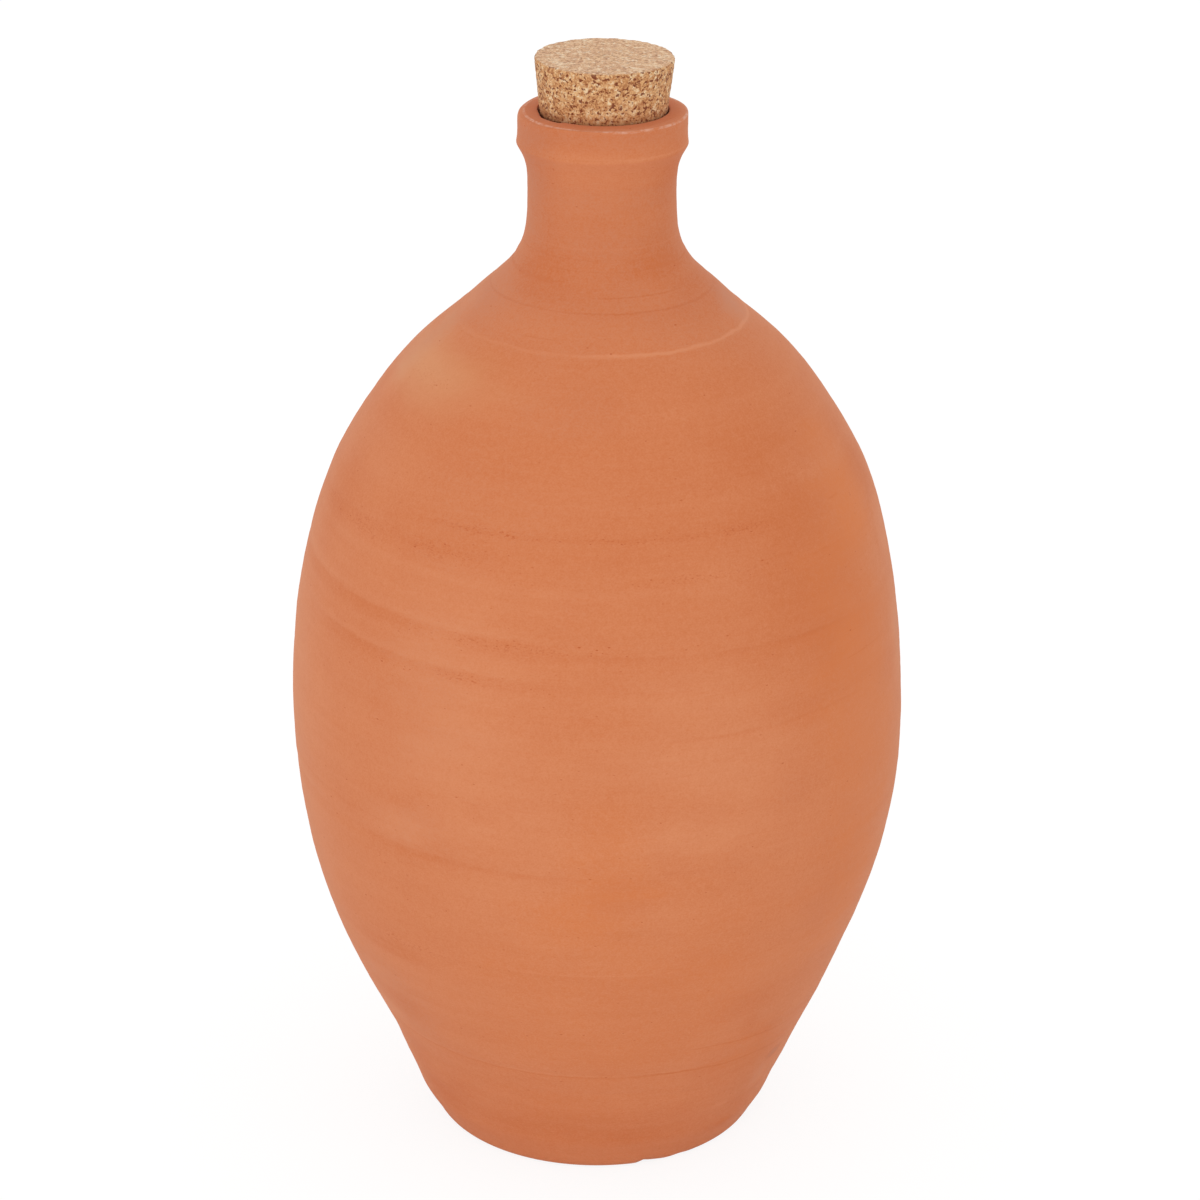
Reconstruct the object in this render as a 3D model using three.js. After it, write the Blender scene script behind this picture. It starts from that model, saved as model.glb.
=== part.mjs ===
// A hand-thrown terracotta water jar, closed with a tapered cork.
// Millimetres, +Z up. The origin is the middle of the foot, on the surface that the jar stands on.

import * as THREE from 'three';

// The cork, a tapered stopper of a standard size, pushed part of its length into the mouth.
const corkTopRadius = 18.8;
const corkTipRadius = 14.9;
const corkLength = 38;
const corkStandOut = 15; // how much of it is left above the rim
const corkEdge = 0.6; // worn edge at either end
const corkClearance = 0.3; // between the cork and the bore of the neck

// The jar's outside, from the foot up.
const footRadius = 47.2;
const footBevelWidth = 5.1;
const footBevelHeight = 9.7;
const bellyRadius = 86.9;
const bellyHeight = 125;
const rimHeight = 300;
const collarDepth = 9; // upright band under the rim
const waistDepth = 19.4; // from the rim down to the narrowest part of the neck
const lipRound = 0.9; // rounding of the rim, outside and inside

// Thickness of the clay.
const floorThickness = 7;
const bodyWall = 5.5;
const neckWall = 4.7;
const collarWall = 5.5;

// Slope of the wall in degrees from upright, where one curve of the outline meets the next.
const heelSlope = 20;
const shoulderSlope = -48.5;
const collarSlope = 34;

// Where the shoulder turns into the neck, as shares of the way from the waist out to the belly
// and from the belly up to the waist.
const shoulderRadiusShare = 0.364;
const shoulderHeightShare = 0.738;

// How far each curve keeps its first and its last direction, as shares of its own rise.
const lowerWallShares = [0.32, 0.45];
const upperWallShares = [0.45, 0.37];
const neckShares = [0.76, 0.52];
const throatShares = [0.7, 0.5];
const collarUndersideShares = [0.5, 0.28];
const floorCornerShare = 0.75; // how much of the floor's radius is flat

// How finely the round shapes are cut.
const stepsAround = 64;
const wallSteps = 9;
const neckSteps = 7;
const edgeSteps = 3;

const point = (radius, height) => new THREE.Vector2(radius, height);

// Unit direction along the wall, upwards, at a slope from upright.
function alongWall(degrees) {
  const slope = THREE.MathUtils.degToRad(degrees);
  return point(Math.sin(slope), Math.cos(slope));
}

// A stretch of the wall from one point up to another, with its slope and share at either end.
function wallCurve(from, fromSlope, to, toSlope, [fromShare, toShare]) {
  const rise = to.y - from.y;
  return new THREE.CubicBezierCurve(
    from,
    from.clone().addScaledVector(alongWall(fromSlope), fromShare * rise),
    to.clone().addScaledVector(alongWall(toSlope), -toShare * rise),
    to,
  );
}

// The same stretch on the inside of the wall, from the top down.
function insideOf(curve, thickness, steps) {
  const points = [];
  for (let i = steps; i >= 0; i--) {
    const upwards = curve.getTangent(i / steps);
    const inwards = point(-upwards.y, upwards.x);
    points.push(curve.getPoint(i / steps).addScaledVector(inwards, thickness));
  }
  return points;
}

// A rounded edge between two points, bent around the corner where their sides would meet.
function roundedEdge(from, corner, to) {
  return new THREE.QuadraticBezierCurve(from, corner, to).getPoints(edgeSteps);
}

// Turns an outline of (radius, height) points round the upright axis.
function turned(outline) {
  const geometry = new THREE.LatheGeometry(outline, stepsAround);
  geometry.rotateX(Math.PI / 2);
  return geometry;
}

// The cork's cone, and the bore that is cut to it.
const corkTopHeight = rimHeight + corkStandOut;
const corkTipHeight = corkTopHeight - corkLength;

function corkRadiusAt(height) {
  const share = (height - corkTipHeight) / corkLength;
  return THREE.MathUtils.lerp(corkTipRadius, corkTopRadius, share);
}

function boreRadiusAt(height) {
  return corkRadiusAt(height) + corkClearance;
}

// The jar's outline, in curves that the inside of the wall follows too.
const waistHeight = rimHeight - waistDepth;
const waistRadius = boreRadiusAt(waistHeight) + neckWall;
const collarRadius = boreRadiusAt(rimHeight) + collarWall;
const heel = point(footRadius + footBevelWidth, footBevelHeight);
const belly = point(bellyRadius, bellyHeight);
const waist = point(waistRadius, waistHeight);
const shoulder = point(
  THREE.MathUtils.lerp(waistRadius, bellyRadius, shoulderRadiusShare),
  THREE.MathUtils.lerp(bellyHeight, waistHeight, shoulderHeightShare),
);
const collarFoot = point(collarRadius, rimHeight - collarDepth);
const throat = point(boreRadiusAt(corkTipHeight), corkTipHeight);

const lowerWall = wallCurve(heel, heelSlope, belly, 0, lowerWallShares);
const upperWall = wallCurve(belly, 0, shoulder, shoulderSlope, upperWallShares);
const neck = wallCurve(shoulder, shoulderSlope, waist, 0, neckShares);
const collarUnderside = wallCurve(waist, 0, collarFoot, collarSlope, collarUndersideShares);

const lowerInside = insideOf(lowerWall, bodyWall, wallSteps);
const upperInside = insideOf(upperWall, bodyWall, wallSteps);
const innerShoulder = upperInside[0];
const innerHeel = lowerInside[lowerInside.length - 1];
const throatCurve = wallCurve(innerShoulder, shoulderSlope, throat, 0, throatShares);

const mouthRadius = boreRadiusAt(rimHeight);
const boreTop = point(boreRadiusAt(rimHeight - lipRound), rimHeight - lipRound);

const jarOutline = [
  point(0, 0),
  point(footRadius, 0),
  ...lowerWall.getPoints(wallSteps),
  ...upperWall.getPoints(wallSteps).slice(1),
  ...neck.getPoints(neckSteps).slice(1),
  ...collarUnderside.getPoints(edgeSteps).slice(1),
  ...roundedEdge(
    point(collarRadius, rimHeight - lipRound),
    point(collarRadius, rimHeight),
    point(collarRadius - lipRound, rimHeight),
  ),
  ...roundedEdge(
    point(mouthRadius + lipRound, rimHeight),
    point(mouthRadius, rimHeight),
    boreTop,
  ),
  ...throatCurve.getPoints(neckSteps).reverse(),
  ...upperInside.slice(1),
  ...lowerInside.slice(1),
  ...roundedEdge(
    innerHeel,
    point(innerHeel.x * (1 + floorCornerShare) / 2, floorThickness),
    point(innerHeel.x * floorCornerShare, floorThickness),
  ).slice(1),
  point(0, floorThickness),
];

const corkOutline = [
  point(0, corkTipHeight),
  point(corkTipRadius - corkEdge, corkTipHeight),
  point(corkRadiusAt(corkTipHeight + corkEdge), corkTipHeight + corkEdge),
  point(corkRadiusAt(corkTopHeight - corkEdge), corkTopHeight - corkEdge),
  point(corkTopRadius - corkEdge, corkTopHeight),
  point(0, corkTopHeight),
];

const terracotta = new THREE.MeshStandardMaterial({
  color: '#d18056',
  roughness: 0.9,
  metalness: 0,
});
const corkGrain = new THREE.MeshStandardMaterial({
  color: '#c99a6c',
  roughness: 0.85,
  metalness: 0,
});

const jar = new THREE.Mesh(turned(jarOutline), terracotta);
jar.name = 'jar';

const corkStopper = new THREE.Mesh(turned(corkOutline), corkGrain);
corkStopper.name = 'cork_stopper';

const waterJar = new THREE.Group();
waterJar.add(jar, corkStopper);

export default waterJar;
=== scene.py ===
# Terracotta water jar with its cork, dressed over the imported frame.
# Lengths are in metres, and angles in degrees. The front of the jar faces -Y, and its right side +X.
import math
import bpy
import numpy as np
from mathutils import Matrix, Vector, noise
from mathutils.geometry import interpolate_bezier


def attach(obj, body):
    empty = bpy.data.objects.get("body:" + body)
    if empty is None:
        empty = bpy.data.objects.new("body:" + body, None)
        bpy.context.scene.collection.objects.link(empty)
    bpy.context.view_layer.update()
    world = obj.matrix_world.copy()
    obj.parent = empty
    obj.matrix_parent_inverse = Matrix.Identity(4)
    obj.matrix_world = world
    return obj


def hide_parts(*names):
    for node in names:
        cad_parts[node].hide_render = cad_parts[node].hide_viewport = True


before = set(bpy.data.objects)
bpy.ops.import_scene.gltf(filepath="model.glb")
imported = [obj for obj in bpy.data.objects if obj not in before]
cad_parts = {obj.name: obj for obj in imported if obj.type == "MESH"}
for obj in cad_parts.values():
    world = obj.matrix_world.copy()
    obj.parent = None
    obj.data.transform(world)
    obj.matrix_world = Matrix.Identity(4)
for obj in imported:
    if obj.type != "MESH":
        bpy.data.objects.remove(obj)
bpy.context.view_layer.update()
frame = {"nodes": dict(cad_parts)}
print("frame loaded:", ", ".join(frame["nodes"]))

mm = 0.001


# steps that both pieces are modelled with

def deselectAll():
    if bpy.context.object and bpy.context.object.mode != "OBJECT":
        bpy.ops.object.mode_set(mode="OBJECT")
    bpy.ops.object.select_all(action="DESELECT")


def pointAt(radius, height):
    return Vector((radius, 0, height))


def alongWall(slope):
    turn = math.radians(slope)  # from upright, outwards
    return Vector((math.sin(turn), 0, math.cos(turn)))


# a stretch of wall from one point up to another, with its slope and stiffness at either end
def wallCurve(start, startSlope, end, endSlope, stiffness, steps):
    rise = end.z - start.z
    startHandle = start + alongWall(startSlope) * stiffness[0] * rise
    endHandle = end - alongWall(endSlope) * stiffness[1] * rise
    return interpolate_bezier(start, startHandle, endHandle, end, steps + 1)


# pulls a ring of edges through the points of an outline and closes both ends
def pullRing(name, outline, segments):
    deselectAll()
    bpy.ops.mesh.primitive_circle_add(
        vertices=segments, radius=outline[0].x, location=(0, 0, outline[0].z))
    piece = bpy.context.object
    piece.name = name
    bpy.ops.object.transform_apply(location=True, rotation=False, scale=False)
    bpy.ops.object.mode_set(mode="EDIT")
    bpy.ops.mesh.select_all(action="SELECT")
    for here, there in zip(outline, outline[1:]):
        rise = there.z - here.z
        widening = there.x / here.x
        bpy.ops.mesh.extrude_region_move(TRANSFORM_OT_translate={"value": (0, 0, rise)})
        bpy.ops.transform.resize(value=(widening, widening, 1), center_override=(0, 0, 0))
    bpy.ops.mesh.select_all(action="DESELECT")
    bpy.ops.mesh.select_non_manifold()
    bpy.ops.mesh.fill_holes(sides=0)
    bpy.ops.mesh.select_all(action="SELECT")
    bpy.ops.mesh.normals_make_consistent(inside=False)
    bpy.ops.mesh.faces_shade_smooth()
    bpy.ops.object.mode_set(mode="OBJECT")
    return piece


def roundOff(piece, levels):
    smooth = piece.modifiers.new("smooth", "SUBSURF")
    smooth.levels = levels
    smooth.render_levels = levels
    bpy.context.view_layer.objects.active = piece
    bpy.ops.object.modifier_apply(modifier=smooth.name)


def readPoints(piece):
    points = np.empty(len(piece.data.vertices) * 3)
    piece.data.vertices.foreach_get("co", points)
    return points.reshape(-1, 3)


def readNormals(piece):
    normals = np.empty(len(piece.data.vertices) * 3)
    piece.data.vertices.foreach_get("normal", normals)
    return normals.reshape(-1, 3)


def writePoints(piece, points):
    piece.data.vertices.foreach_set("co", points.ravel())
    piece.data.update()


def smoothStep(low, high, values):
    share = np.clip((values - low) / (high - low), 0, 1)
    return share * share * (3 - 2 * share)


# reads a short list of (height, amount) pairs as a soft curve
def softCurve(pairs, heights):
    step = 0.5 * mm
    grid = np.arange(-20 * mm, 340 * mm, step)
    amounts = np.interp(grid, [height for height, _ in pairs], [amount for _, amount in pairs])
    weights = np.hanning(15)
    soft = np.convolve(np.pad(amounts, 7, mode="edge"), weights / weights.sum(), "valid")
    return np.interp(heights, grid, soft)


# the jar: its sizes are those of the solid underneath

jarShape = {
    "footRadius": 47.3 * mm,
    "heel": (52.3 * mm, 9.7 * mm),
    "belly": (86.9 * mm, 125 * mm),
    "shoulder": (44.5 * mm, 239.8 * mm),
    "waist": (20.3 * mm, 280.4 * mm),
    "collarRadius": 23.1 * mm,
    "collarFoot": 290.9 * mm,
    "rimHeight": 300.1 * mm,
    "lipRound": 0.4 * mm,
    "mouthRadius": 17.85 * mm,
    "mouthLip": 0.35 * mm,     # the inner edge stands this much over the outer one
    "throat": (15.3 * mm, 277 * mm),
    "wall": 5.5 * mm,
    "floorHeight": 7 * mm,
    "poleRadius": 8 * mm,      # small rings that close the foot and the floor
    "segments": 56,
    "ringGain": 1.0018,        # smoothing draws each ring in by this much
}


def jarOutline(shape):
    foot = pointAt(shape["footRadius"], 0)
    heel = pointAt(*shape["heel"])
    belly = pointAt(*shape["belly"])
    shoulder = pointAt(*shape["shoulder"])
    waist = pointAt(*shape["waist"])
    throat = pointAt(*shape["throat"])
    collar = shape["collarRadius"]
    collarFoot = pointAt(collar, shape["collarFoot"])
    rim = shape["rimHeight"]
    lip = shape["lipRound"]
    mouth = shape["mouthRadius"]
    inner = shape["mouthLip"]
    floorHeight = shape["floorHeight"]

    # up the outside
    outline = [pointAt(shape["poleRadius"], 0), pointAt(25 * mm, 0), pointAt(41 * mm, 0)]
    outline += [pointAt(foot.x - 0.9 * mm, 0), pointAt(foot.x + 0.25 * mm, 0.5 * mm)]
    outline += [foot.lerp(heel, 0.3), foot.lerp(heel, 0.65)]
    outline += wallCurve(heel, 20, belly, 0, (0.32, 0.45), 25)
    outline += wallCurve(belly, 0, shoulder, -48.5, (0.45, 0.37), 27)[1:]
    outline += wallCurve(shoulder, -48.5, waist, 0, (0.76, 0.52), 13)[1:]
    outline += wallCurve(waist, 0, collarFoot, 34, (0.5, 0.28), 4)[1:]

    # the collar, the rim and the mouth
    outline += [pointAt(collar + 0.2 * mm, collarFoot.z + 0.45 * mm)]
    outline += [pointAt(collar, collarFoot.z + 1.6 * mm)]
    outline += [pointAt(collar, rim - 5 * mm), pointAt(collar, rim - 2 * mm)]
    outline += [pointAt(collar, rim - lip), pointAt(collar - lip * 0.3, rim - lip * 0.3)]
    outline += [pointAt(collar - lip, rim), pointAt(mouth + 1.6 * mm, rim + inner * 0.8)]
    outline += [pointAt(mouth + lip, rim + inner), pointAt(mouth + lip * 0.2, rim + inner - lip * 0.2)]
    outline += [pointAt(mouth, rim + inner - lip), pointAt(mouth - 0.2 * mm, rim - 1.5 * mm)]
    outline += [pointAt(mouth - 0.8 * mm, rim - 6 * mm), pointAt(mouth - 1.6 * mm, rim - 14 * mm)]

    # down the inside, one wall in from the outside
    innerShoulder = shoulder + Vector((-0.66, 0, -0.75)) * shape["wall"]
    innerBelly = belly + Vector((-1, 0, 0)) * shape["wall"]
    innerHeel = heel + Vector((-0.94, 0, 0.34)) * shape["wall"]
    outline += wallCurve(innerShoulder, -48.5, throat, 0, (0.7, 0.5), 6)[::-1]
    outline += wallCurve(innerBelly, 0, innerShoulder, -48.5, (0.45, 0.37), 6)[-2::-1]
    outline += wallCurve(innerHeel, 20, innerBelly, 0, (0.32, 0.45), 5)[-2::-1]
    outline += [pointAt(40 * mm, floorHeight + 0.8 * mm), pointAt(30 * mm, floorHeight)]
    outline += [pointAt(shape["poleRadius"], floorHeight)]
    return outline


# how far the thrown wall strays from a true turned shape, by height
handWork = {
    "sideways": [
        (0, 0), (12 * mm, -0.05 * mm), (22 * mm, 0.25 * mm), (31 * mm, 0.4 * mm), (42 * mm, 0.15 * mm),
        (52 * mm, -0.15 * mm), (63 * mm, -0.3 * mm), (75 * mm, -0.1 * mm), (88 * mm, 0.12 * mm),
        (106 * mm, 0.27 * mm), (120 * mm, 0.15 * mm), (134 * mm, -0.15 * mm), (156 * mm, -0.25 * mm),
        (176 * mm, -0.1 * mm), (192 * mm, 0.2 * mm), (212 * mm, 0.22 * mm), (232 * mm, 0.45 * mm),
        (300 * mm, 0.48 * mm)],
    "swelling": [
        (0, -0.4 * mm), (3 * mm, -0.5 * mm), (5 * mm, -0.15 * mm), (7 * mm, 0.2 * mm), (14 * mm, 0.05 * mm),
        (19 * mm, 0.25 * mm), (23 * mm, 0.22 * mm), (31 * mm, -0.08 * mm),
        (45 * mm, 0.23 * mm), (60 * mm, 0.03 * mm), (84 * mm, 0.13 * mm), (100 * mm, 0),
        (132 * mm, 0.13 * mm), (156 * mm, -0.12 * mm), (176 * mm, -0.22 * mm), (190 * mm, 0),
        (200 * mm, 0.14 * mm), (208 * mm, -0.2 * mm), (217 * mm, -0.42 * mm), (226 * mm, -0.05 * mm),
        (232 * mm, 0.16 * mm), (237 * mm, -0.12 * mm), (239 * mm, -0.3 * mm), (241 * mm, -0.45 * mm),
        (245 * mm, -0.55 * mm), (246.5 * mm, -0.25 * mm), (249 * mm, 0), (251 * mm, 0.12 * mm),
        (253 * mm, -0.1 * mm), (256 * mm, -0.45 * mm), (258 * mm, -0.3 * mm), (259.5 * mm, -0.12 * mm),
        (266 * mm, -0.06 * mm), (272 * mm, 0), (287 * mm, 0.05 * mm), (292 * mm, 0.22 * mm),
        (293.6 * mm, 0), (297 * mm, 0.1 * mm), (300 * mm, 0.05 * mm)],
    "footOval": (-0.05 * mm, 0.95 * mm),   # the foot's change to the sides and to the front
    "fineHeight": 0.06 * mm,   # of the finest throwing lines
    "fineSpacing": 1.7 * mm,
    "waveHeight": 0.12 * mm,
    "waveSpacing": 9 * mm,
    "waveLength": 70 * mm,     # around the jar
}

# throwing rings: height, rise of the ring's high side, width, how far it stands out, and
# the stretch of the jar that it shows on, as angles from the front towards the right
throwingRings = [
    {"height": 39.2 * mm, "lean": 0.6 * mm, "width": 0.8 * mm, "proud": -0.18 * mm, "span": (-60, 60)},
    {"height": 46.7 * mm, "lean": 0.3 * mm, "width": 0.7 * mm, "proud": -0.12 * mm, "span": (25, 80)},
    {"height": 79 * mm, "lean": 0.4 * mm, "width": 1.2 * mm, "proud": 0.1 * mm, "span": (-50, 70)},
    {"height": 112.2 * mm, "lean": 2.4 * mm, "width": 1.4 * mm, "proud": -0.2 * mm, "span": (-85, 60)},
    {"height": 153 * mm, "lean": 3 * mm, "width": 1.6 * mm, "proud": -0.14 * mm, "span": (10, 60)},
    {"height": 166 * mm, "lean": 2.2 * mm, "width": 1.6 * mm, "proud": -0.2 * mm, "span": (-85, 20)},
    {"height": 173.4 * mm, "lean": 1.2 * mm, "width": 1.4 * mm, "proud": -0.14 * mm, "span": (-10, 80)},
    {"height": 177.6 * mm, "lean": 1.4 * mm, "width": 1.3 * mm, "proud": -0.22 * mm, "span": (-90, 10)},
    {"height": 191 * mm, "lean": 0.8 * mm, "width": 2.4 * mm, "proud": 0.14 * mm, "span": (-70, 80)},
    {"height": 196.4 * mm, "lean": 0.8 * mm, "width": 1.5 * mm, "proud": -0.16 * mm, "span": (-90, -20)},
    {"height": 203.2 * mm, "lean": 0.2 * mm, "width": 0.9 * mm, "proud": -0.12 * mm, "span": (-40, 40)},
    {"height": 243.2 * mm, "lean": 0, "width": 0.8 * mm, "proud": 0.15 * mm, "span": (-180, 180)},
    {"height": 252 * mm, "lean": 0, "width": 0.7 * mm, "proud": -0.16 * mm, "span": (-180, 180)},
    {"height": 258.4 * mm, "lean": 0.5 * mm, "width": 0.9 * mm, "proud": -0.14 * mm, "span": (-120, -30)},
]
ringLeanTowards = -140         # the side on which a leaning ring is highest

# the worn stretch of the mouth's edge, beside the cork
mouthWear = {"span": (-80, -37), "depth": 0.85 * mm, "reach": 1.5 * mm}
# the rim's outer edge, rubbed round on the left
rimWear = {"span": (-140, -15), "depth": 0.6 * mm, "reach": 2 * mm}
mouthShift = 0.2 * mm          # the bore stands a little to the right in the neck

# chips in the fired clay: angle from the front, height, width and depth
chips = [
    {"angle": 17.5, "height": 0, "width": 1.4 * mm, "depth": 1.2 * mm},
    {"angle": 20.5, "height": 0, "width": 2.4 * mm, "depth": 0.6 * mm},
    {"angle": 31, "height": 0, "width": 1.8 * mm, "depth": 0.3 * mm},
    {"angle": -128, "height": 0, "width": 2 * mm, "depth": 0.5 * mm},
    {"angle": -45, "height": 129 * mm, "width": 1.1 * mm, "depth": 0.2 * mm},
]


def angleWindow(angles, span):
    low, high = span
    if high - low >= 360:
        return np.ones_like(angles)
    fade = 14
    return smoothStep(low - fade, low + fade, angles) * (1 - smoothStep(high - fade, high + fade, angles))


def ringHeights(ring, angles):
    return ring["height"] + ring["lean"] * np.cos(np.radians(angles - ringLeanTowards))


jarPiece = pullRing("jar_fired", jarOutline(jarShape), jarShape["segments"])
roundOff(jarPiece, 2)
print("jar thrown:", len(jarPiece.data.polygons), "faces")


def workByHand(piece):
    points = readPoints(piece)
    points[:, :2] *= jarShape["ringGain"]
    radii = np.hypot(points[:, 0], points[:, 1]) + 1e-9
    directions = points[:, :2] / radii[:, None]
    heights = points[:, 2].copy()
    angles = np.degrees(np.arctan2(points[:, 0], -points[:, 1]))
    normals = readNormals(piece)
    facingOut = smoothStep(0, 0.3, (normals[:, :2] * directions).sum(axis=1))

    relief = softCurve(handWork["swelling"], heights)
    for ring in throwingRings:
        across = (heights - ringHeights(ring, angles)) / ring["width"]
        relief += ring["proud"] * np.exp(-across * across) * angleWindow(angles, ring["span"])
    toSides, toFront = handWork["footOval"]
    sideways = np.sin(np.radians(angles)) ** 2
    relief += (toSides * sideways + toFront * (1 - sideways)) * (1 - smoothStep(1 * mm, 8 * mm, heights))

    lines = np.empty(len(points))
    waves = np.empty(len(points))
    around = 1 / handWork["waveLength"]
    for index, (x, y, z) in enumerate(points):
        lines[index] = noise.noise((x * 14, y * 14, z / handWork["fineSpacing"]))
        waves[index] = noise.noise((x * around, y * around, z / handWork["waveSpacing"] + 40))
    relief += handWork["fineHeight"] * lines + handWork["waveHeight"] * waves

    relief *= facingOut

    outside = np.maximum(facingOut, (heights < 1 * mm) * smoothStep(41 * mm, 45 * mm, radii))
    for chip in chips:
        arc = np.radians(angles - chip["angle"]) * radii
        distance = np.hypot(arc, heights - chip["height"]) / chip["width"]
        relief -= chip["depth"] * np.exp(-distance ** 2) * outside

    points[:, :2] += directions * relief[:, None]

    low, high = mouthWear["span"]
    worn = smoothStep(low, low + 25, angles) * (1 - smoothStep(high - 2, high + 1, angles))
    worn *= smoothStep(jarShape["rimHeight"] - mouthWear["reach"] * 2, jarShape["rimHeight"] - 0.2 * mm, heights)
    worn *= 1 - smoothStep(jarShape["mouthRadius"] + 0.1 * mm, jarShape["mouthRadius"] + mouthWear["reach"], radii)
    points[:, :2] += directions * (mouthWear["depth"] * worn)[:, None]
    points[:, 2] -= mouthWear["depth"] * 0.5 * worn
    low, high = rimWear["span"]
    rubbed = smoothStep(low, low + 40, angles) * (1 - smoothStep(high - 45, high, angles))
    rubbed *= smoothStep(jarShape["rimHeight"] - rimWear["reach"], jarShape["rimHeight"] - 0.2 * mm, heights)
    rubbed *= smoothStep(jarShape["collarRadius"] - rimWear["reach"], jarShape["collarRadius"], radii)
    points[:, :2] -= directions * (rimWear["depth"] * 0.4 * rubbed)[:, None]
    points[:, 2] -= rimWear["depth"] * rubbed
    inBore = (1 - facingOut) * smoothStep(270 * mm, 290 * mm, heights)
    points[:, 0] += mouthShift * inBore * (1 - smoothStep(19 * mm, 22 * mm, radii))
    points[:, 0] += softCurve(handWork["sideways"], heights)
    writePoints(piece, points)


workByHand(jarPiece)
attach(jarPiece, "jar")
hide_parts("jar")
print("jar worked by hand")


# the cork

corkShape = {
    "topRadius": 19.1 * mm,
    "tipRadius": 14.8 * mm,
    "topHeight": 315 * mm,
    "length": 38 * mm,
    "edge": 0.3 * mm,
    "segments": 64,
    "sideways": 0.7 * mm,      # the mouth's own offset
    "lean": 1.0,               # degrees to the right
    "topSlope": (0.45, 0.9),   # how far the sawn top drops to the right and to the front
    "seatHeight": 300 * mm,    # below this the cork is squeezed straight by the neck
    "granule": 1.5 * mm,
    "granuleRelief": 0.16 * mm,
    "crumble": 0.25 * mm,      # wear of the top edge
}


def corkOutline(shape):
    top = shape["topHeight"]
    tip = top - shape["length"]
    edge = shape["edge"]
    start = pointAt(shape["tipRadius"], tip)
    end = pointAt(shape["topRadius"], top)
    outline = [pointAt(start.x * share, tip) for share in (0.12, 0.4, 0.7, 0.9)]
    outline += [pointAt(start.x - edge, tip)]
    outline += [start.lerp(end, share) for share in (0.02, 0.2, 0.38, 0.5, 0.58, 0.66, 0.74, 0.82, 0.9, 0.96, 0.99)]
    outline += [pointAt(end.x - edge, top)]
    outline += [pointAt(end.x * share, top) for share in (0.92, 0.82, 0.7, 0.58, 0.46, 0.34, 0.22, 0.1)]
    return outline


corkPiece = pullRing("cork_granulated", corkOutline(corkShape), corkShape["segments"])
roundOff(corkPiece, 2)
print("cork turned:", len(corkPiece.data.polygons), "faces")


def crumbleCork(piece):
    points = readPoints(piece)
    normals = readNormals(piece)
    size = corkShape["granule"]
    dents = np.empty(len(points))
    for index, (x, y, z) in enumerate(points):
        nearest = noise.voronoi((x / size, y / size, z / size))[0]
        dents[index] = min(nearest[1] - nearest[0], 0.35) / 0.35 - 1
    top = corkShape["topHeight"]
    rough = np.where(normals[:, 2] > 0.9, 0.45, 1)
    relief = corkShape["granuleRelief"] * dents * rough
    radii = np.hypot(points[:, 0], points[:, 1])
    nearEdge = smoothStep(top - 1.4 * mm, top, points[:, 2]) * smoothStep(
        corkShape["topRadius"] - 1.4 * mm, corkShape["topRadius"], radii)
    for index in np.nonzero(nearEdge)[0]:
        x, y, z = points[index]
        wear = max(0, noise.noise((x * 420, y * 420, z * 420)))
        relief[index] -= corkShape["crumble"] * 2 * wear * nearEdge[index]
    points += normals * relief[:, None]
    toRight, toFront = [math.sin(math.radians(slope)) for slope in corkShape["topSlope"]]
    above = np.clip(points[:, 2] - corkShape["seatHeight"], 0, None)
    tipped = smoothStep(0, 6 * mm, above)
    points[:, 2] += (points[:, 1] * toFront - points[:, 0] * toRight) * tipped
    points[:, 0] += corkShape["sideways"] + above * math.sin(math.radians(corkShape["lean"]))
    writePoints(piece, points)


crumbleCork(corkPiece)
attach(corkPiece, "stopper")
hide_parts("cork_stopper")
print("cork crumbled")


# building blocks of the two finishes

def newFinish(name):
    material = bpy.data.materials.new(name)
    material.use_nodes = True
    tree = material.node_tree
    return material, tree, tree.nodes["Principled BSDF"]


def addNode(tree, kind, **settings):
    node = tree.nodes.new(kind)
    for key, value in settings.items():
        setattr(node, key, value)
    return node


def feed(tree, value, socket):
    if isinstance(value, bpy.types.NodeSocket):
        tree.links.new(value, socket)
    else:
        socket.default_value = value


def calc(tree, operation, *values):
    node = addNode(tree, "ShaderNodeMath", operation=operation)
    for value, socket in zip(values, node.inputs):
        feed(tree, value, socket)
    return node.outputs[0]


# a value between two limits, eased at both ends
def between(tree, value, low, high, toLow=0, toHigh=1):
    node = addNode(tree, "ShaderNodeMapRange", interpolation_type="SMOOTHSTEP")
    feed(tree, value, node.inputs["Value"])
    for name, amount in (("From Min", low), ("From Max", high), ("To Min", toLow), ("To Max", toHigh)):
        node.inputs[name].default_value = amount
    return node.outputs["Result"]


def stretched(tree, vector, scale, offset=(0, 0, 0)):
    node = addNode(tree, "ShaderNodeMapping")
    feed(tree, vector, node.inputs["Vector"])
    node.inputs["Scale"].default_value = scale
    node.inputs["Location"].default_value = offset
    return node.outputs["Vector"]


def noiseOf(tree, vector, scale, detail=2, roughness=0.5):
    node = addNode(tree, "ShaderNodeTexNoise")
    feed(tree, vector, node.inputs["Vector"])
    node.inputs["Scale"].default_value = scale
    node.inputs["Detail"].default_value = detail
    node.inputs["Roughness"].default_value = roughness
    return node.outputs["Fac"]


def mixColour(tree, factor, first, second, blend="MIX"):
    node = addNode(tree, "ShaderNodeMix", data_type="RGBA", blend_type=blend)
    feed(tree, factor, node.inputs["Factor"])
    feed(tree, first, node.inputs["A"])
    feed(tree, second, node.inputs["B"])
    return node.outputs["Result"]


def bumpOf(tree, height, strength, distance, under=None):
    node = addNode(tree, "ShaderNodeBump")
    node.inputs["Strength"].default_value = strength
    node.inputs["Distance"].default_value = distance
    feed(tree, height, node.inputs["Height"])
    if under is not None:
        tree.links.new(under, node.inputs["Normal"])
    return node.outputs["Normal"]


# the fired clay

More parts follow.
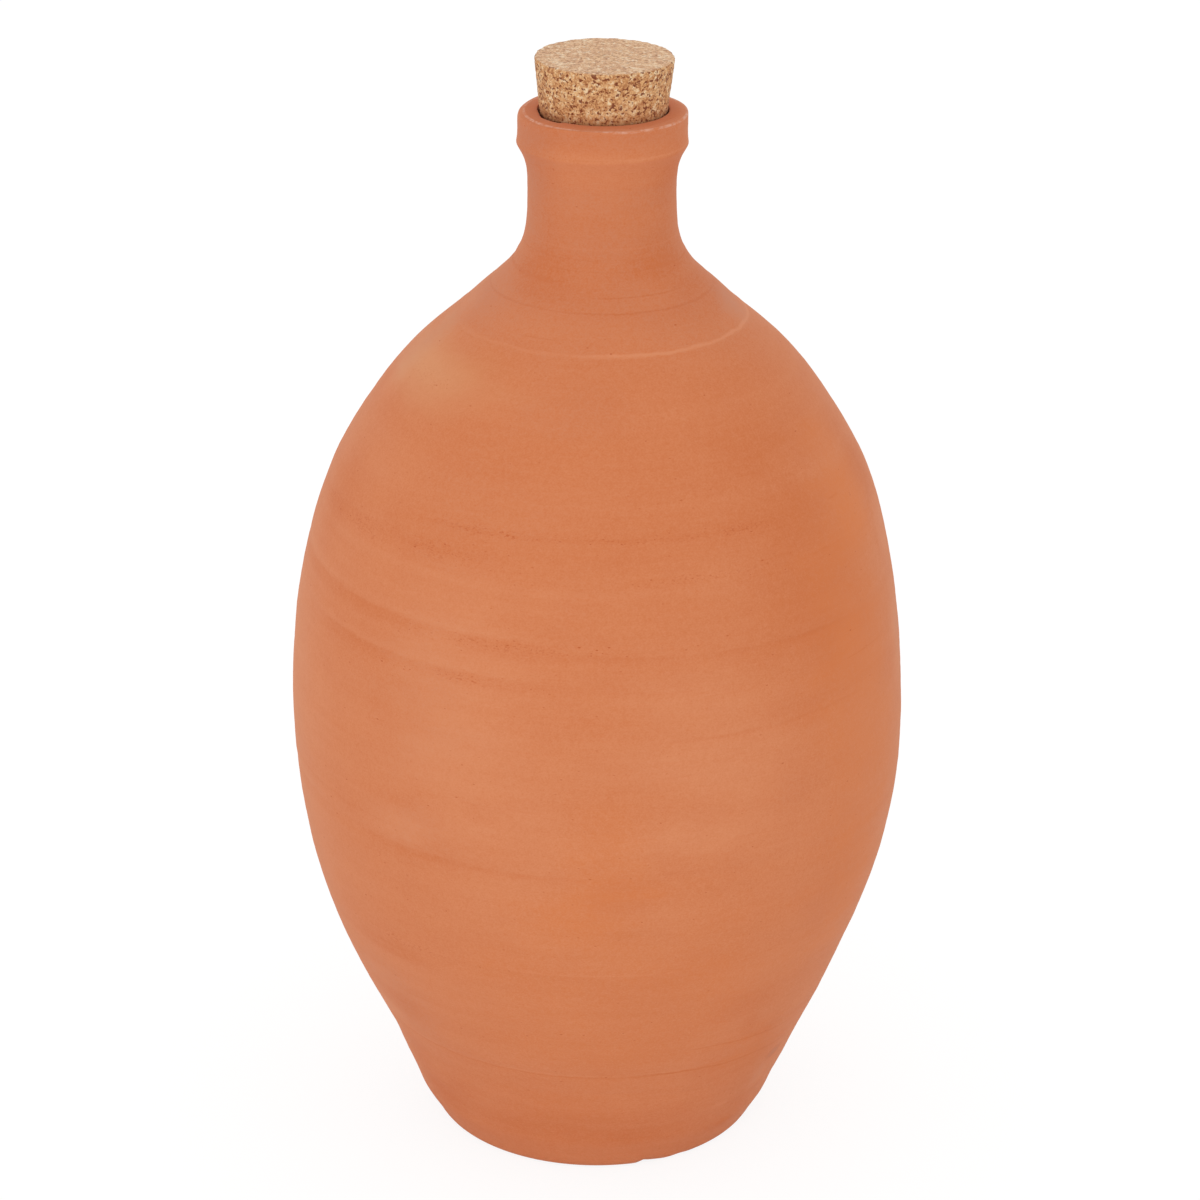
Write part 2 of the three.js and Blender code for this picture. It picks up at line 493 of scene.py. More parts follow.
clayColours = {
    "deep": (0.6, 0.158, 0.046, 1),
    "pale": (0.708, 0.26, 0.118, 1),
    "dust": (0.72, 0.345, 0.165, 1),       # where the surface was rubbed dry
    "faded": (0.56, 0.215, 0.118, 1),      # drier and pinker
    "rich": (0.7, 0.2, 0.055, 1),
    # the rim's pale rubbed edge, also its painted highlight
    "rubbed": (0.72, 0.38, 0.27, 1),
    "speck": (0.5, 0.095, 0.021, 1),
}

# contrast of each layer of the clay's colour
clayLayers = {
    "cloud": 1.0,              # soft patches, hand sized
    "mottle": 0.6,
    "band": 0.62,              # wide level bands from the wheel
    "swipe": 0.7,              # slanting wipes, low on the jar
    "streak": 0.34,
    "hair": 0.3,
    "grain": 1.0,
    "grit": 1.3,
}

# lines in the clay's colour: height, lean, width above, fade below, strength and the side that they show on
clayLines = [
    {"height": 39.6 * mm, "lean": 0.6 * mm, "width": 0.5 * mm, "strength": 0.4, "side": -15, "reach": 60},
    {"height": 38.8 * mm, "lean": 0.6 * mm, "width": 0.4 * mm, "strength": -0.45, "side": -15, "reach": 60},
    {"height": 37.2 * mm, "tilt": -4.5 * mm, "width": 0.5 * mm, "strength": -0.8, "side": 33, "reach": 26, "steady": 0.6},
    {"height": 44.9 * mm, "tilt": -7 * mm, "width": 0.45 * mm, "strength": -0.7, "side": 40, "reach": 18, "steady": 0.6},
    {"height": 79.2 * mm, "lean": 0.4 * mm, "width": 0.6 * mm, "strength": 0.35, "side": 10, "reach": 60},
    {"height": 112.6 * mm, "lean": 2.4 * mm, "width": 0.8 * mm, "fade": 4 * mm, "strength": -0.35, "side": -40, "reach": 55},
    {"height": 118 * mm, "lean": 1.4 * mm, "width": 0.9 * mm, "strength": -0.3, "side": -65, "reach": 30},
    {"height": 153 * mm, "lean": 3 * mm, "width": 1 * mm, "strength": -0.3, "side": 35, "reach": 24},
    {"height": 160.5 * mm, "tilt": -2 * mm, "width": 0.35 * mm, "strength": -0.8, "side": 60, "reach": 7, "steady": 0.5},
    {"height": 192 * mm, "width": 0.45 * mm, "strength": -0.7, "side": 53, "reach": 8, "steady": 0.2},
    {"height": 202.5 * mm, "width": 0.45 * mm, "strength": -0.9, "side": 60.5, "reach": 2.5, "steady": 0.8},
    {"height": 167 * mm, "lean": 1.5 * mm, "width": 0.7 * mm, "fade": 5 * mm, "strength": -0.36, "side": -36, "reach": 34, "steady": 0.6},
    {"height": 168.4 * mm, "lean": 1.5 * mm, "width": 3 * mm, "fade": 1 * mm, "strength": 0.2, "side": -36, "reach": 34, "steady": 0.6},
    {"height": 174 * mm, "lean": 1.2 * mm, "tilt": -2 * mm, "width": 0.7 * mm, "fade": 3 * mm, "strength": -0.32, "side": 28, "reach": 40, "steady": 0.4},
    {"height": 177.4 * mm, "lean": 1.9 * mm, "width": 0.6 * mm, "fade": 5 * mm, "strength": -0.42, "side": -50, "reach": 44, "steady": 0.65},
    {"height": 179 * mm, "lean": 1.9 * mm, "width": 4 * mm, "fade": 1 * mm, "strength": 0.28, "side": -46, "reach": 46, "steady": 0.65},
    {"height": 190.6 * mm, "lean": 0.8 * mm, "width": 2 * mm, "strength": 0.25, "side": -30, "reach": 60},
    {"height": 207 * mm, "lean": 1.2 * mm, "width": 0.7 * mm, "fade": 4 * mm, "strength": -0.4, "side": 140, "reach": 55, "steady": 0.5},
    {"height": 169 * mm, "lean": 2 * mm, "width": 0.7 * mm, "fade": 5 * mm, "strength": -0.45, "side": 115, "reach": 40, "steady": 0.6},
    {"height": 146 * mm, "lean": 2.4 * mm, "width": 0.8 * mm, "fade": 4 * mm, "strength": -0.4, "side": -150, "reach": 60, "steady": 0.5},
    {"height": 96 * mm, "lean": 1.6 * mm, "width": 0.9 * mm, "fade": 3 * mm, "strength": -0.4, "side": 160, "reach": 70, "steady": 0.4},
    {"height": 196.6 * mm, "tilt": 2.5 * mm, "width": 2.4 * mm, "fade": 4 * mm, "strength": -0.25, "side": -55, "reach": 36, "steady": 0.6},
    {"height": 203.1 * mm, "lean": 0.2 * mm, "width": 0.8 * mm, "strength": -0.3, "side": 0, "reach": 45},
    {"height": 243.2 * mm, "lean": 0, "width": 0.65 * mm, "strength": 0.7, "side": 60, "reach": 75, "steady": 0.7},
    {"height": 243.2 * mm, "lean": 0, "width": 0.65 * mm, "strength": 0.55, "side": 30, "reach": 120, "steady": 0.7},
    {"height": 246 * mm, "lean": 0, "width": 0.25 * mm, "strength": -0.7, "side": -24, "reach": 12},
    {"height": 252 * mm, "lean": 0.1 * mm, "width": 0.4 * mm, "strength": -0.7, "side": 0, "reach": 200},
    {"height": 255.3 * mm, "lean": 0.1 * mm, "width": 0.3 * mm, "strength": -0.56, "side": 30, "reach": 70},
    {"height": 258.2 * mm, "lean": 0.5 * mm, "width": 0.7 * mm, "strength": -0.98, "side": -75, "reach": 50},
    {"height": 261.3 * mm, "lean": 0.2 * mm, "width": 0.35 * mm, "strength": -0.7, "side": 20, "reach": 90},
    {"height": 264.2 * mm, "lean": 0.2 * mm, "width": 0.35 * mm, "strength": -0.56, "side": -40, "reach": 80},
    {"height": 267 * mm, "lean": 0.2 * mm, "width": 0.4 * mm, "strength": 0.42, "side": 10, "reach": 90},
    {"height": 292.1 * mm, "lean": 0, "width": 0.5 * mm, "strength": 0.5, "side": 60, "reach": 60},
    {"height": 292.1 * mm, "lean": 0, "width": 0.4 * mm, "strength": -0.4, "side": -30, "reach": 40},
]

# soft patches in the clay's colour, some of them painted light and painted shade: angle, height, half width and
# height, strength, and how soft the edge is
toneAndShadePatches = [
    {"angle": -78, "height": 150 * mm, "size": (40 * mm, 62 * mm), "strength": 0.3, "soft": 1},
    {"angle": -28, "height": 160 * mm, "size": (24 * mm, 52 * mm), "strength": 0.45, "soft": 1},
    {"angle": 20, "height": 148 * mm, "size": (32 * mm, 32 * mm), "strength": 0.5, "soft": 1},
    {"angle": -14, "height": 106 * mm, "size": (48 * mm, 22 * mm), "strength": 0.5, "soft": 1},
    {"angle": 54, "height": 100 * mm, "size": (22 * mm, 26 * mm), "strength": -0.25, "soft": 1},
    {"angle": -72, "height": 196 * mm, "size": (16 * mm, 30 * mm), "strength": -0.35, "soft": 1},
    {"angle": 80, "height": 200 * mm, "size": (16 * mm, 40 * mm), "strength": -0.62, "soft": 1},
    {"angle": -46, "height": 238 * mm, "size": (22 * mm, 9 * mm), "strength": -0.3, "soft": 1},
    {"angle": -40, "height": 118 * mm, "size": (16 * mm, 8 * mm), "strength": 0.6, "soft": 1},
    {"angle": 12, "height": 120 * mm, "size": (26 * mm, 10 * mm), "strength": 0.35, "soft": 1},
    {"angle": 8, "height": 86 * mm, "size": (34 * mm, 12 * mm), "strength": 0.35, "soft": 1},
    {"angle": 40, "height": 163 * mm, "size": (14 * mm, 12 * mm), "strength": 0.35, "soft": 1},
    {"angle": -44, "height": 260 * mm, "size": (12 * mm, 15 * mm), "strength": -0.5, "soft": 1},
    {"angle": 82, "height": 246 * mm, "size": (10 * mm, 6 * mm), "strength": 0.55, "soft": 1},
    {"angle": -83, "height": 247 * mm, "size": (9 * mm, 5 * mm), "strength": 0.4, "soft": 1},
    {"angle": 44, "height": 46 * mm, "size": (9 * mm, 9 * mm), "strength": -0.3, "soft": 1},
    # painted sheen: a pale crescent by the right edge
    {"angle": 81, "height": 186 * mm, "size": (9 * mm, 12 * mm), "strength": 0.5, "soft": 0.6},
    {"angle": 38, "height": 38 * mm, "size": (18 * mm, 14 * mm), "strength": -0.4, "soft": 1},
    {"angle": -42, "height": 24 * mm, "size": (11 * mm, 8 * mm), "strength": -0.4, "soft": 1},
    {"angle": -12, "height": 4 * mm, "size": (44 * mm, 9 * mm), "strength": 0.35, "soft": 1},
    # painted shade: the right side darker, where less light falls
    {"angle": 48, "height": 192 * mm, "size": (32 * mm, 62 * mm), "strength": -0.7, "soft": 1},
    {"angle": -20, "height": 150 * mm, "size": (64 * mm, 34 * mm), "strength": 0.3, "soft": 1},
    {"angle": -10, "height": 125 * mm, "size": (70 * mm, 12 * mm), "strength": 0.2, "soft": 1},
    {"angle": 5, "height": 105 * mm, "size": (17 * mm, 7 * mm), "strength": -0.35, "soft": 0.9},
    {"angle": 40, "height": 124 * mm, "size": (18 * mm, 10 * mm), "strength": -0.1, "soft": 0.9},
    {"angle": 57.5, "height": 30 * mm, "size": (4.8 * mm, 2.8 * mm), "strength": -1.1, "soft": 0.9},
    {"angle": 46, "height": 9 * mm, "size": (5 * mm, 2 * mm), "strength": -0.5, "soft": 1},
    {"angle": 38.5, "height": 50.5 * mm, "size": (5 * mm, 7 * mm), "strength": -0.35, "soft": 1},
    {"angle": 39.5, "height": 18 * mm, "size": (4 * mm, 1.6 * mm), "strength": 0.4, "soft": 1},
    {"angle": 54, "height": 22 * mm, "size": (5 * mm, 9 * mm), "strength": 0.4, "soft": 1},
    {"angle": 44, "height": 8 * mm, "size": (14 * mm, 3.5 * mm), "strength": -0.5, "soft": 1},
    {"angle": -30, "height": 15 * mm, "size": (18 * mm, 5 * mm), "strength": -0.15, "soft": 1},
    {"angle": -50, "height": 52 * mm, "size": (12 * mm, 9 * mm), "strength": -0.3, "soft": 1},
    {"angle": -62, "height": 44 * mm, "size": (10 * mm, 6 * mm), "strength": 0.4, "soft": 1},
    {"angle": 34, "height": 60 * mm, "size": (16 * mm, 9 * mm), "strength": -0.25, "soft": 1},
    {"angle": -45, "height": 74 * mm, "size": (22 * mm, 4 * mm), "strength": -0.35, "soft": 0.8},
    {"angle": 0, "height": 12 * mm, "size": (90 * mm, 12 * mm), "strength": -0.1, "soft": 1},
    {"angle": 12, "height": 12 * mm, "size": (16 * mm, 6 * mm), "strength": -0.25, "soft": 1},
    {"angle": 60, "height": 251 * mm, "size": (34 * mm, 7 * mm), "strength": -0.3, "soft": 0.8},
    # painted light: the front of the neck lighter, where the light falls on it
    {"angle": 0, "height": 288 * mm, "size": (26 * mm, 12 * mm), "strength": 0.85, "soft": 1},
    {"angle": -82, "height": 238 * mm, "size": (14 * mm, 16 * mm), "strength": 0.3, "soft": 1},
    {"angle": 80, "height": 155 * mm, "size": (12 * mm, 18 * mm), "strength": 0.65, "soft": 1},
    # this patch and the next: painted shade on the neck's two sides, where less light falls
    {"angle": -58, "height": 280 * mm, "size": (12 * mm, 30 * mm), "strength": -0.42, "soft": 1},
    {"angle": 66, "height": 286 * mm, "size": (12 * mm, 14 * mm), "strength": -0.38, "soft": 1},
    {"angle": 45, "height": 264 * mm, "size": (12 * mm, 10 * mm), "strength": -0.45, "soft": 1},
    {"angle": 30, "height": 254 * mm, "size": (15 * mm, 6 * mm), "strength": 0.2, "soft": 1},
    {"angle": -80, "height": 226 * mm, "size": (9 * mm, 8 * mm), "strength": 0.45, "soft": 1},
    {"angle": -68, "height": 202 * mm, "size": (18 * mm, 20 * mm), "strength": -0.24, "soft": 1},
    {"angle": -18, "height": 176 * mm, "size": (26 * mm, 16 * mm), "strength": 0.2, "soft": 1},
    {"angle": -22, "height": 138 * mm, "size": (26 * mm, 26 * mm), "strength": 0.2, "soft": 1},
    {"angle": 26, "height": 126 * mm, "size": (24 * mm, 20 * mm), "strength": 0.22, "soft": 1},
    {"angle": -14, "height": 88 * mm, "size": (30 * mm, 12 * mm), "strength": 0.2, "soft": 1},
    {"angle": -28, "height": 120 * mm, "size": (26 * mm, 10 * mm), "strength": 0.25, "soft": 1},
    {"angle": 12, "height": 98 * mm, "size": (18 * mm, 10 * mm), "strength": 0.25, "soft": 1},
    {"angle": -14, "height": 43 * mm, "size": (22 * mm, 12 * mm), "strength": 0.32, "soft": 1},
    {"angle": -58, "height": 27 * mm, "size": (13 * mm, 20 * mm), "strength": -0.42, "soft": 1},
    {"angle": 50, "height": 32 * mm, "size": (13 * mm, 18 * mm), "strength": -0.3, "soft": 1},
    {"angle": -67, "height": 8 * mm, "size": (10 * mm, 6 * mm), "strength": -0.6, "soft": 1},
    {"angle": -52, "height": 15 * mm, "size": (13 * mm, 8 * mm), "strength": -0.45, "soft": 1},
    {"angle": -54, "height": 296 * mm, "size": (13 * mm, 7 * mm), "strength": -0.35, "soft": 1},
    {"angle": 52, "height": 15 * mm, "size": (10 * mm, 6 * mm), "strength": -0.35, "soft": 1},
    {"angle": -54, "height": 59 * mm, "size": (11 * mm, 6 * mm), "strength": 0.3, "soft": 1},
]
clayDust = {"angle": -68, "height": 234 * mm, "size": (42 * mm, 11 * mm), "strength": 0.5, "soft": 1.1}

# where the clay's hue is drier (above 0) or richer (below); one of them is painted shade on the right side
hueAndShadePatches = [
    {"angle": -74, "height": 250 * mm, "size": (18 * mm, 12 * mm), "strength": 0.15, "soft": 1},
    {"angle": -82, "height": 236 * mm, "size": (14 * mm, 20 * mm), "strength": 0.45, "soft": 1},
    {"angle": 2, "height": 120 * mm, "size": (18 * mm, 22 * mm), "strength": -0.3, "soft": 1},
    {"angle": -4, "height": 100 * mm, "size": (24 * mm, 14 * mm), "strength": -0.2, "soft": 1},
    {"angle": 84, "height": 247 * mm, "size": (12 * mm, 8 * mm), "strength": 0.3, "soft": 1},
    {"angle": 40, "height": 130 * mm, "size": (14 * mm, 12 * mm), "strength": 0.2, "soft": 1},
    {"angle": -8, "height": 232 * mm, "size": (26 * mm, 14 * mm), "strength": 0.2, "soft": 1},
    {"angle": 68, "height": 208 * mm, "size": (22 * mm, 36 * mm), "strength": -0.32, "soft": 1},
    {"angle": -56, "height": 291 * mm, "size": (14 * mm, 12 * mm), "strength": 0.32, "soft": 1},
    {"angle": 80, "height": 155 * mm, "size": (12 * mm, 18 * mm), "strength": 0.35, "soft": 1},
    {"angle": -34, "height": 119 * mm, "size": (26 * mm, 12 * mm), "strength": 0.14, "soft": 1},
    {"angle": 60, "height": 82 * mm, "size": (22 * mm, 18 * mm), "strength": -0.25, "soft": 1},
    {"angle": -34, "height": 165 * mm, "size": (26 * mm, 54 * mm), "strength": 0.16, "soft": 1},
    # painted shade: a richer hue down the less lit right side
    {"angle": 58, "height": 150 * mm, "size": (34 * mm, 105 * mm), "strength": -0.42, "soft": 0.9},
    {"angle": -66, "height": 278 * mm, "size": (10 * mm, 24 * mm), "strength": 0.2, "soft": 1},
    {"angle": -28, "height": 208 * mm, "size": (28 * mm, 30 * mm), "strength": 0.16, "soft": 1},
    {"angle": 44, "height": 40 * mm, "size": (18 * mm, 16 * mm), "strength": -0.25, "soft": 1},
    {"angle": 6, "height": 62 * mm, "size": (64 * mm, 60 * mm), "strength": -0.3, "soft": 1},
    {"angle": 54, "height": 24 * mm, "size": (5 * mm, 10 * mm), "strength": 0.25, "soft": 1},
    {"angle": 57.5, "height": 30 * mm, "size": (5 * mm, 3 * mm), "strength": 0.6, "soft": 1},
    {"angle": 46, "height": 9 * mm, "size": (6 * mm, 3 * mm), "strength": -0.4, "soft": 1},
    {"angle": -50, "height": 54 * mm, "size": (28 * mm, 24 * mm), "strength": 0.3, "soft": 1},
]

# whole bands round the jar: height, half height and strength; the neck's wide band is painted shade
toneAndShadeZones = [
    {"height": 228 * mm, "width": 22 * mm, "strength": -0.22},
    {"height": 256.5 * mm, "width": 8 * mm, "strength": -0.2},
    {"height": 262 * mm, "width": 9 * mm, "strength": -0.3},
    # painted shade: the neck darker all round
    {"height": 282 * mm, "width": 26 * mm, "strength": -0.3},
    {"height": 286 * mm, "width": 8 * mm, "strength": -0.2},
    {"height": 297 * mm, "width": 7 * mm, "strength": -0.45},
    {"height": 20 * mm, "width": 9 * mm, "strength": -0.15},
    {"height": 4 * mm, "width": 14 * mm, "strength": -0.1},
]

# the same for its hue
hueZones = [
    {"height": 249 * mm, "width": 15 * mm, "strength": 0.22},
    {"height": 269 * mm, "width": 26 * mm, "strength": 0.33},
    {"height": 281 * mm, "width": 7 * mm, "strength": 0.15},
    {"height": 298 * mm, "width": 8 * mm, "strength": 0.3},
]

# bands where the coarse grit of the clay was dragged open
openBands = [
    {"height": 203 * mm, "width": 1.2 * mm, "side": 2, "reach": 40, "strength": 1.8},
    {"height": 196 * mm, "width": 3 * mm, "side": -52, "reach": 30},
    {"height": 232 * mm, "width": 2 * mm, "side": -62, "reach": 16},
    {"height": 193 * mm, "width": 1.3 * mm, "side": 26, "reach": 24},
    {"height": 175.2 * mm, "width": 1.6 * mm, "side": -15, "reach": 28},
    {"height": 165.2 * mm, "width": 2 * mm, "side": -28, "reach": 24},
    {"height": 78.5 * mm, "width": 1.6 * mm, "side": -40, "reach": 26},
    {"height": 167 * mm, "width": 2 * mm, "side": 118, "reach": 30},
    {"height": 205 * mm, "width": 1.6 * mm, "side": -160, "reach": 34},
]


def radiusAt(height):
    stations = sorted((point.z, point.x) for point in jarOutline(jarShape)[7:78])
    return float(np.interp(height, [z for z, _ in stations], [x for _, x in stations]))


def directionAt(angle):
    turn = math.radians(angle)
    return (math.sin(turn), -math.cos(turn), 0)


def buildClay():
    clay, tree, shader = newFinish("firedClay")
    place = addNode(tree, "ShaderNodeTexCoord").outputs["Object"]
    parts = addNode(tree, "ShaderNodeSeparateXYZ")
    feed(tree, place, parts.inputs[0])
    height = parts.outputs["Z"]
    flat = addNode(tree, "ShaderNodeVectorMath", operation="MULTIPLY")
    feed(tree, place, flat.inputs[0])
    flat.inputs[1].default_value = (1, 1, 0)
    unit = addNode(tree, "ShaderNodeVectorMath", operation="NORMALIZE")
    feed(tree, flat.outputs[0], unit.inputs[0])
    outward = unit.outputs[0]
    millimetres = addNode(tree, "ShaderNodeVectorMath", operation="SCALE")
    feed(tree, place, millimetres.inputs[0])
    millimetres.inputs["Scale"].default_value = 1 / mm

    def towards(angle):
        node = addNode(tree, "ShaderNodeVectorMath", operation="DOT_PRODUCT")
        feed(tree, outward, node.inputs[0])
        node.inputs[1].default_value = directionAt(angle)
        return node.outputs["Value"]

    def onSide(side, reach):
        reach = math.radians(min(reach, 170))
        return between(tree, towards(side), math.cos(reach * 1.15), math.cos(reach * 0.35))

    # the layers of noise; the level ones are drawn out round the jar
    cloud = noiseOf(tree, stretched(tree, place, (1, 1, 1.7)), 17, 3, 0.55)
    mottle = noiseOf(tree, stretched(tree, place, (1, 1, 1.5)), 85, 4, 0.62)
    wander = calc(tree, "MULTIPLY_ADD", noiseOf(tree, place, 12, 2), 6 * mm, -3 * mm)
    tilted = addNode(tree, "ShaderNodeCombineXYZ")
    feed(tree, parts.outputs["X"], tilted.inputs["X"])
    feed(tree, parts.outputs["Y"], tilted.inputs["Y"])
    highSide = towards(ringLeanTowards)
    leaning = calc(tree, "MULTIPLY_ADD", highSide, -1.6 * mm, calc(tree, "ADD", height, wander))
    feed(tree, leaning, tilted.inputs["Z"])
    band = noiseOf(tree, stretched(tree, tilted.outputs[0], (4, 4, 85)), 1, 3, 0.55)
    streak = noiseOf(tree, stretched(tree, tilted.outputs[0], (11, 11, 420), (3, 1, 7)), 1, 3, 0.6)
    slanted = addNode(tree, "ShaderNodeMapping")
    feed(tree, place, slanted.inputs["Vector"])
    slanted.inputs["Rotation"].default_value = (0, math.radians(24), 0)
    slanted.inputs["Scale"].default_value = (16, 16, 150)
    low = between(tree, height, 45 * mm, 120 * mm, 1, 0)
    swipe = noiseOf(tree, slanted.outputs["Vector"], 1, 3, 0.6)
    swipe = calc(tree, "MULTIPLY_ADD", calc(tree, "SUBTRACT", swipe, 0.5), low, 0.5)
    hair = noiseOf(tree, stretched(tree, place, (45, 45, 1700), (5, 2, 1)), 1, 2, 0.6)
    grain = noiseOf(tree, place, 640, 3, 0.7)
    grit = noiseOf(tree, stretched(tree, place, (1, 1, 1.3)), 1900, 1, 0.6)
    ragged = noiseOf(tree, stretched(tree, place, (1, 1, 5)), 150, 3, 0.6)
    broken = noiseOf(tree, stretched(tree, place, (1, 1, 3)), 34, 3, 0.6)

    def drawLine(line):
        level = calc(tree, "MULTIPLY_ADD", highSide, line.get("lean", 0), line["height"])
        if "tilt" in line:
            level = calc(tree, "MULTIPLY_ADD", towards(line["side"] + 90), line["tilt"], level)
        wide = min(line["width"], 1.2 * mm)
        stray = calc(tree, "MULTIPLY_ADD", ragged, wide * 2, -wide)
        offset = calc(tree, "ADD", calc(tree, "SUBTRACT", height, level), stray)
        below = line.get("fade", line["width"])
        shape = calc(tree, "MULTIPLY", between(tree, offset, 0, line["width"], 1, 0), between(tree, offset, -below, 0))
        strength = calc(tree, "MULTIPLY", shape, onSide(line["side"], line["reach"]))
        come = between(tree, broken, 0.35, 0.6, line.get("steady", 0.25), 1)
        return calc(tree, "MULTIPLY", calc(tree, "MULTIPLY", strength, come), line["strength"])

    def drawPatch(patch):
        x, y, _ = directionAt(patch["angle"])
        distance = radiusAt(patch["height"])
        node = addNode(tree, "ShaderNodeVectorMath", operation="SUBTRACT")
        feed(tree, millimetres.outputs[0], node.inputs[0])
        node.inputs[1].default_value = (x * distance / mm, y * distance / mm, patch["height"] / mm)
        wide, tall = patch["size"]
        scaled = addNode(tree, "ShaderNodeVectorMath", operation="MULTIPLY")
        feed(tree, node.outputs[0], scaled.inputs[0])
        scaled.inputs[1].default_value = (mm / wide, mm / wide, mm / tall)
        length = addNode(tree, "ShaderNodeVectorMath", operation="LENGTH")
        feed(tree, scaled.outputs[0], length.inputs[0])
        uneven = calc(tree, "MULTIPLY_ADD", broken, 0.8, -0.4)
        reach = calc(tree, "ADD", length.outputs["Value"], uneven)
        soft = patch["soft"]
        return calc(tree, "MULTIPLY", between(tree, reach, 1.1 - soft, 1.1, 1, 0), patch["strength"])

    tone = drawLine(clayLines[0])
    for line in clayLines[1:]:
        tone = calc(tree, "ADD", tone, drawLine(line))
    for patch in toneAndShadePatches:
        tone = calc(tree, "ADD", tone, drawPatch(patch))
    hue = calc(tree, "MULTIPLY_ADD", noiseOf(tree, place, 24, 3, 0.6), 0.4, -0.2)
    for patch in hueAndShadePatches:
        hue = calc(tree, "ADD", hue, drawPatch(patch))

    def drawZone(zone):
        away = calc(tree, "ABSOLUTE", calc(tree, "SUBTRACT", height, zone["height"]))
        return between(tree, away, 0, zone["width"], zone["strength"], 0)

    for zone in toneAndShadeZones:
        tone = calc(tree, "ADD", tone, drawZone(zone))
    for zone in hueZones:
        hue = calc(tree, "ADD", hue, drawZone(zone))
    layers = {"cloud": cloud, "mottle": mottle, "band": band, "swipe": swipe, "streak": streak,
              "hair": hair, "grain": grain, "grit": grit}
    for name, layer in layers.items():
        amount = clayLayers[name]
        part = calc(tree, "MULTIPLY_ADD", layer, amount, -amount / 2)
        tone = calc(tree, "ADD", tone, part)
        if name in ("grain", "grit"):
            hue = calc(tree, "MULTIPLY_ADD", part, 0.35, hue)

    # the rim: a rubbed pale edge outside, which also paints the highlight along the rim's outer edge, and painted
    # shade from the cork on the top, darkest towards the mouth
    def radiusFrom(x, y):
        offset = addNode(tree, "ShaderNodeVectorMath", operation="SUBTRACT")
        feed(tree, flat.outputs[0], offset.inputs[0])
        offset.inputs[1].default_value = (x, y, 0)
        spread = addNode(tree, "ShaderNodeVectorMath", operation="LENGTH")
        feed(tree, offset.outputs[0], spread.inputs[0])
        return spread.outputs["Value"]

    radius = radiusFrom(0.48 * mm, 0)
    lineRadius = radiusFrom(1.2 * mm, -0.6 * mm)
    # pale rubbed edge that also stands for the painted highlight along the rim's outer edge
    rubbed = calc(tree, "MULTIPLY", between(tree, height, 299.3 * mm, 299.6 * mm),
                  between(tree, lineRadius, 21.7 * mm, 21.9 * mm))
    rubbed = calc(tree, "MULTIPLY", rubbed, between(tree, lineRadius, 22.55 * mm, 22.35 * mm))
    rubbed = calc(tree, "MULTIPLY", rubbed, between(tree, ragged, 0.36, 0.6, 0.2, 1))
    rubbed = calc(tree, "MULTIPLY", rubbed, between(tree, grain, 0.36, 0.6, 0.1, 0.85))
    # painted shade: the rim's top darkens towards the cork
    nearRim = between(tree, height, 298.9 * mm, 299.6 * mm)
    rimTopShade = calc(tree, "MULTIPLY", nearRim, between(tree, radius, 22.4 * mm, 18.6 * mm, 0, -1.5))
    tone = calc(tree, "ADD", tone, rimTopShade)

    share = calc(tree, "MULTIPLY_ADD", tone, 0.5, 0.5)
    colour = mixColour(tree, share, clayColours["deep"], clayColours["pale"])
    colour = mixColour(tree, between(tree, hue, 0, 1), colour, clayColours["faded"])
    colour = mixColour(tree, between(tree, hue, 0, -1), colour, clayColours["rich"])
    colour = mixColour(tree, drawPatch(clayDust), colour, clayColours["dust"])
    colour = mixColour(tree, rubbed, colour, clayColours["rubbed"])

    # dark specks of grit, dragged level by the wheel
    opened = None
    for line in openBands:
        away = calc(tree, "ABSOLUTE", calc(tree, "SUBTRACT", height, line["height"]))
        shape = between(tree, away, 0, line["width"] * 1.5, 1, 0)
        shape = calc(tree, "MULTIPLY", shape, onSide(line["side"], line["reach"]))
        if "strength" in line:
            shape = calc(tree, "MULTIPLY", shape, line["strength"])
        opened = calc(tree, "MAXIMUM", opened, shape) if opened else shape
    specks = addNode(tree, "ShaderNodeTexVoronoi")
    feed(tree, stretched(tree, place, (1, 1, 2.3)), specks.inputs["Vector"])
    specks.inputs["Scale"].default_value = 640
    lot = addNode(tree, "ShaderNodeSeparateColor")
    feed(tree, specks.outputs["Color"], lot.inputs[0])
    drawn = calc(tree, "ADD", lot.outputs[0], calc(tree, "MULTIPLY", opened, 0.25))
    shown = between(tree, drawn, 0.945, 0.985)
    size = calc(tree, "MULTIPLY_ADD", lot.outputs[1], 0.25, 0.12)
    closeness = calc(tree, "SUBTRACT", 1, calc(tree, "DIVIDE", specks.outputs["Distance"], size))
    speck = calc(tree, "MULTIPLY", between(tree, closeness, 0, 0.6), shown)
    scratches = noiseOf(tree, stretched(tree, place, (1, 1, 2.2)), 1000, 2, 0.55)
    torn = calc(tree, "MULTIPLY", between(tree, scratches, 0.56, 0.64), opened)
    torn = calc(tree, "MULTIPLY", torn, between(tree, broken, 0.42, 0.58, 0.08, 0.4))
    depth = calc(tree, "MULTIPLY", speck, between(tree, lot.outputs[2], 0, 1, 0.3, 0.85))
    depth = calc(tree, "MAXIMUM", depth, torn)
    colour = mixColour(tree, depth, colour, clayColours["speck"])
    feed(tree, colour, shader.inputs["Base Color"])

    feed(tree, between(tree, mottle, 0.3, 0.7, 0.8, 0.95), shader.inputs["Roughness"])
    shader.inputs["Specular IOR Level"].default_value = 0.3
    shader.inputs["Sheen Weight"].default_value = 0.12
    shader.inputs["Sheen Roughness"].default_value = 0.5
    shader.inputs["Sheen Tint"].default_value = (1, 0.86, 0.72, 1)

